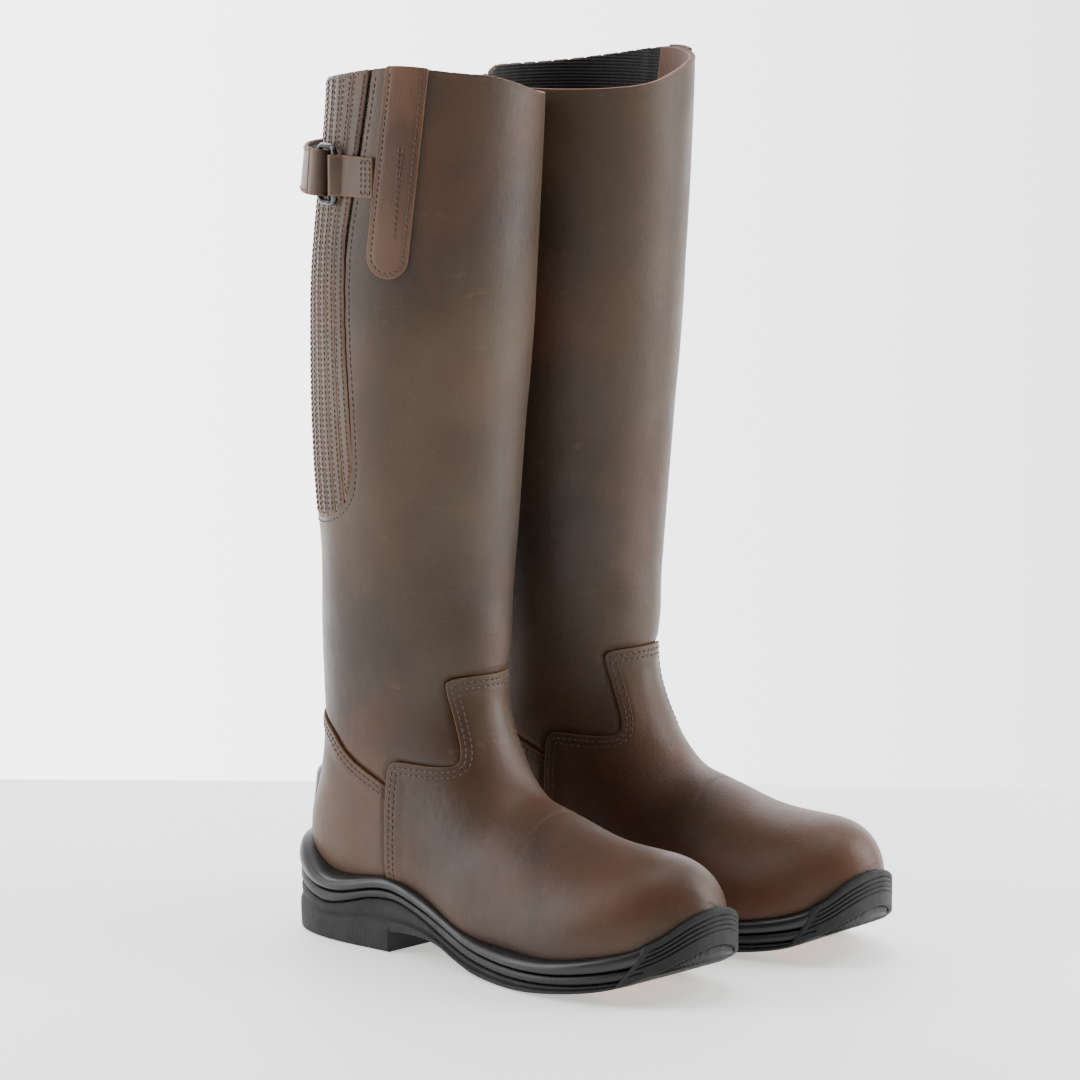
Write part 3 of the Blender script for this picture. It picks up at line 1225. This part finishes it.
bumper, bumper_faces, across_count, up_count = [], [], 150, 64
GROOVES = (0.42, 0.55, 0.68, 0.81)      # their heights, as shares of the bumper's
for v in np.linspace(0, 1, up_count):
    outer, inner = bumper_span(min(max(v, 0.02), 0.98))
    for u in np.linspace(0, 1, across_count):
        spot, out = wall_at(outer + (inner - outer) * u)
        f = -spot[1]
        low, high = ground(f) + 0.2 * MM, height(WELT_TOP, f) + 0.7 * MM
        side = min(u, 1 - u)
        swell = 1.35 * min(1, side / 0.02) ** 0.5 * min(1, v / 0.05, (1 - v) / 0.05) ** 0.5
        groove = 0
        for k, at in enumerate(GROOVES):
            start = 0.055 + 0.006 * k
            near = math.hypot((v - at) * 34, max(0, start - side) * 110)
            groove = max(groove, math.exp(-((near / 0.62) ** 2)))
        drop = 3.0 * max(0, side - 0.085) ** 1.35
        hook = math.hypot((v - 0.27 + drop) * 34, max(0, 0.045 - side) * 110)
        if side < 0.125:
            groove = max(groove, math.exp(-((hook / 0.55) ** 2)))
        x, y = spot + out * (swell * 1.4 - 0.35 - 1.2 * groove) * MM
        bumper.append((x, y, low + v * (high - low)))
for i in range(up_count - 1):
    for j in range(across_count - 1):
        a = i * across_count + j
        bumper_faces.append([a, a + 1, a + across_count + 1, a + across_count])
top_row = (up_count - 1) * across_count
outer, inner = bumper_span(0.98)
for offset, drop in ((3.0, 0.2), (9.0, 2.0)):
    base = len(bumper)
    for j, u in enumerate(np.linspace(0, 1, across_count)):
        spot, out = wall_at(outer + (inner - outer) * u)
        x, y = spot - out * offset * MM
        bumper.append((x, y, height(WELT_TOP, -spot[1]) + (0.7 - drop) * MM))
    for j in range(across_count - 1):
        bumper_faces.append([top_row + j, top_row + j + 1, base + j + 1, base + j])
    top_row = base
made += pair("bumper", (bumper, bumper_faces), "boot", [], bumper_rubber)

# ------------------------------------------------------------------------- tread insert and footbed
# A thin tan rubber plate let into the forefoot's underside, and a cloth-covered footbed inside.
tan = Nodes("tan_rubber", 0.6)
tan.set(Base_Color=tan.mix(tan.noise(30, 4.0), (0.30, 0.13, 0.05), (0.42, 0.20, 0.09)))
tan.bump((tan.noise(900, 3.0), 0.0001))
base, outs = [], []
for f in np.linspace(0.170, 0.250, 40):
    z = ground(f) + 0.5 * MM
    left = wall_tree.ray_cast(Vector((-0.1, -f, z)), Vector((1, 0, 0)))[0]
    right = wall_tree.ray_cast(Vector((0.1, -f, z)), Vector((-1, 0, 0)))[0]
    low_x = (left.x if left else -0.03) + 2.0 * MM
    high_x = (right.x if right else 0.03) - 2.0 * MM
    base.append([Vector((x, -f, ground(f) + 0.8 * MM)) for x in np.linspace(low_x, high_x, 24)])
    outs.append([Vector((0, 0, -1))] * 24)
insert = slab(base, outs, 1.1 * MM)
insert = pair("tread_insert", insert, "boot", ["tread_insert"], tan.material)

cloth = Nodes("footbed_cloth", 0.95)
weave = cloth.cells(1100)
cloth.set(Base_Color=cloth.mix(cloth.spread(weave, 0.1, 0.7), (0.055, 0.050, 0.046), (0.020, 0.018, 0.017)))
cloth.bump((weave, 0.0003))
# height of the floor that the footbed lies on, along the foot
FLOOR = [(-12, 31), (17, 30), (60, 30), (80, 31), (104, 29), (125, 23), (150, 16.5), (178, 13.5),
         (205, 13), (230, 14.5), (250, 18.5), (265, 24.5), (276, 31), (292, 43)]
FLOOR = np.array(mm(rounded(FLOOR))).T
base, outs = [], []
for f in np.linspace(0.006, 0.268, 70):
    z = height(FLOOR, f) + 10.2 * MM
    left = skin_tree.ray_cast(Vector((0, -f, z)), Vector((-1, 0, 0)))[0]
    right = skin_tree.ray_cast(Vector((0, -f, z)), Vector((1, 0, 0)))[0]
    low_x = (left.x if left else -0.01) + 2.6 * MM
    high_x = (right.x if right else 0.01) - 2.6 * MM
    row = []
    for x in np.linspace(low_x, high_x, 25):
        edge = min(x - low_x, high_x - x)
        turned_up = 1.6 * MM * (1 - float(smooth_step(edge, 0, 7 * MM)))
        row.append(Vector((x, -f, z + turned_up - 1.2 * MM)))
    base.append(row)
    outs.append([Vector((0, 0, 1))] * 25)
footbed = pair("footbed", slab(base, outs, 1.4 * MM), "boot", ["footbed"], cloth.material)
for obj in made + insert + footbed:
    bm = bmesh.new()
    bm.from_mesh(obj.data)
    bmesh.ops.recalc_face_normals(bm, faces=bm.faces)
    bm.to_mesh(obj.data)
    bm.free()
# the steel shank and the lasting board stay closed in between sole and footbed
hidden = {"shank": metal.material, "insole_board": cloth.material}
for name, material in hidden.items():
    for side in ("right", "left"):
        node = frame["nodes"][f"{side}_{name}"]
        node.data.materials.clear()
        node.data.materials.append(material)

# ------------------------------------------------------------------------- room, light and camera
# A pale tabletop whose far edge shows, a paler background, and broad soft light from both sides.
table = Nodes("table_top", 0.55)
grey = table.spread(table.noise(3.0, 2.0), 0.3, 0.7, 0.0, 1.0)
table.set(Base_Color=table.mix(grey, (0.90, 0.90, 0.875), (0.93, 0.93, 0.905)), Specular_IOR_Level=0.25)
table.set(Emission_Color=(1.0, 1.0, 0.97), Emission_Strength=0.62)
EYE = Vector((-1.9984, -1.8632, 0.670))
AIM = Vector((-0.0400, -0.0043, 0.221))
TABLE_FAR, TABLE_HALF, TABLE_DEEP = 3.130, 3, 5     # how far off its far edge lies, and its size
PAPER_FAR = 5.2
look = (AIM - EYE).normalized()
flat = Vector((look.x, look.y, 0)).normalized()
sideways = Vector((flat.y, -flat.x, 0))
far = EYE + flat * TABLE_FAR
far.z = 0
skew = flat * TABLE_HALF * math.tan(math.radians(1.9))      # its far edge stands a little askew
corners = [
    far - sideways * TABLE_HALF + skew,
    far + sideways * TABLE_HALF - skew,
    far + sideways * TABLE_HALF - flat * TABLE_DEEP,
    far - sideways * TABLE_HALF - flat * TABLE_DEEP,
]
mesh = bpy.data.meshes.new("table_top_shape")
mesh.from_pydata([tuple(c) for c in corners], [], [(0, 3, 2, 1)])
mesh.materials.append(table.material)
top = bpy.data.objects.new("table_top", mesh)
bpy.context.scene.collection.objects.link(top)

paper = Nodes("backdrop_paper", 0.9)
shade = paper.add("ShaderNodeSeparateXYZ", {"Vector": paper.spot}).outputs["X"]
glow = paper.mix(paper.spread(shade, -0.5, 0.5), (1.0, 1.0, 1.01), (0.62, 0.62, 0.62))
paper.set(Base_Color=(0, 0, 0), Emission_Color=glow, Emission_Strength=5.0)
mesh = bpy.data.meshes.new("backdrop_shape")
mesh.from_pydata([(-3, 0, -2), (3, 0, -2), (3, 0, 3), (-3, 0, 3)], [], [(0, 1, 2, 3)])
mesh.materials.append(paper.material)
backdrop = bpy.data.objects.new("backdrop", mesh)
backdrop.matrix_world = Matrix.Translation(EYE + flat * PAPER_FAR) @ Matrix.Rotation(
    math.atan2(sideways.y, sideways.x), 4, "Z"
)
bpy.context.scene.collection.objects.link(backdrop)

world = bpy.data.worlds.new("soft_room")
world.use_nodes = True
room = world.node_tree.nodes["Background"].inputs
room["Color"].default_value = (0.86, 0.87, 0.90, 1)
room["Strength"].default_value = 0.28
bpy.context.scene.world = world


def soft_light(name, place, aim, width, height, watts, colour=(1, 1, 1)):
    data = bpy.data.lights.new(name, "AREA")
    data.shape, data.size, data.size_y = "RECTANGLE", width, height
    data.energy, data.color = watts, colour
    lamp = bpy.data.objects.new(name, data)
    lamp.location = place
    lamp.rotation_mode = "QUATERNION"
    lamp.rotation_quaternion = (Vector(aim) - Vector(place)).to_track_quat("-Z", "Y")
    bpy.context.scene.collection.objects.link(lamp)


middle = Vector((0, 0, 0.22))
above = Vector((0, 0, 0.6))
soft_light("left_softbox", middle - sideways * 1.6 - flat * 0.1 + above, middle, 0.9, 1.6, 30)
soft_light("right_softbox", middle + sideways * 1.5 + flat * 0.1 + above, middle, 0.9, 1.6, 38)
soft_light("top_softbox", middle + Vector((0, 0, 1.8)) + flat * 0.1, middle, 1.5, 1.5, 26)

camera_data = bpy.data.cameras.new("front_camera")
camera_data.lens, camera_data.sensor_width = 175.5, 36
camera_data.clip_end = 50
camera_data.dof.use_dof = False
camera = bpy.data.objects.new("front_camera", camera_data)
camera.location = EYE
camera.rotation_mode = "QUATERNION"
camera.rotation_quaternion = look.to_track_quat("-Z", "Y")
bpy.context.scene.collection.objects.link(camera)
bpy.context.scene.camera = camera
